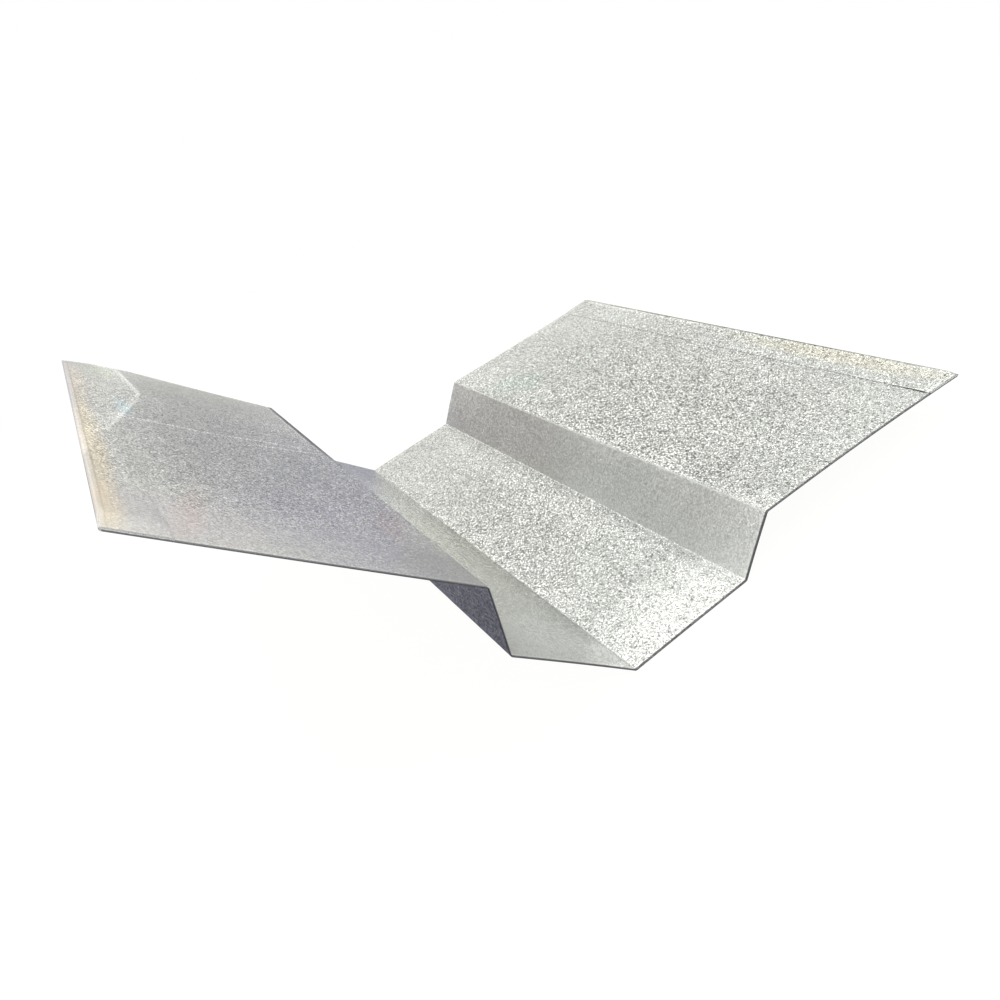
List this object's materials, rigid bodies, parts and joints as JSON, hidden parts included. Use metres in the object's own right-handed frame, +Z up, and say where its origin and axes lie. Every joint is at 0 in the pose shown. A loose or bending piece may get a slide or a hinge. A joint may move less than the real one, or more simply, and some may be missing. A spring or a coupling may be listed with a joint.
{
  "type": "valley flashing",
  "caption": "Folded steel valley flashing: a V-shaped trough between upstanding risers, with sloping side wings whose edges are folded over in teardrop hems.",
  "frame": {"origin": "middle of the underside of the right floor half, the face that the strip lies on", "axes": "+Z up, +Y along the valley line, +X across the valley towards the right wing, which lies nearly level"},
  "size_m": [0.426, 0.385, 0.2135],
  "materials": {
    "zinc_coated_sheet": "zinc-coated sheet, fine-grained and half matt, with faint rolling streaks and light handling marks"
  },
  "bodies": {
    "root": {"flashing_sheet": "zinc_coated_sheet"}
  },
  "joints": []
}
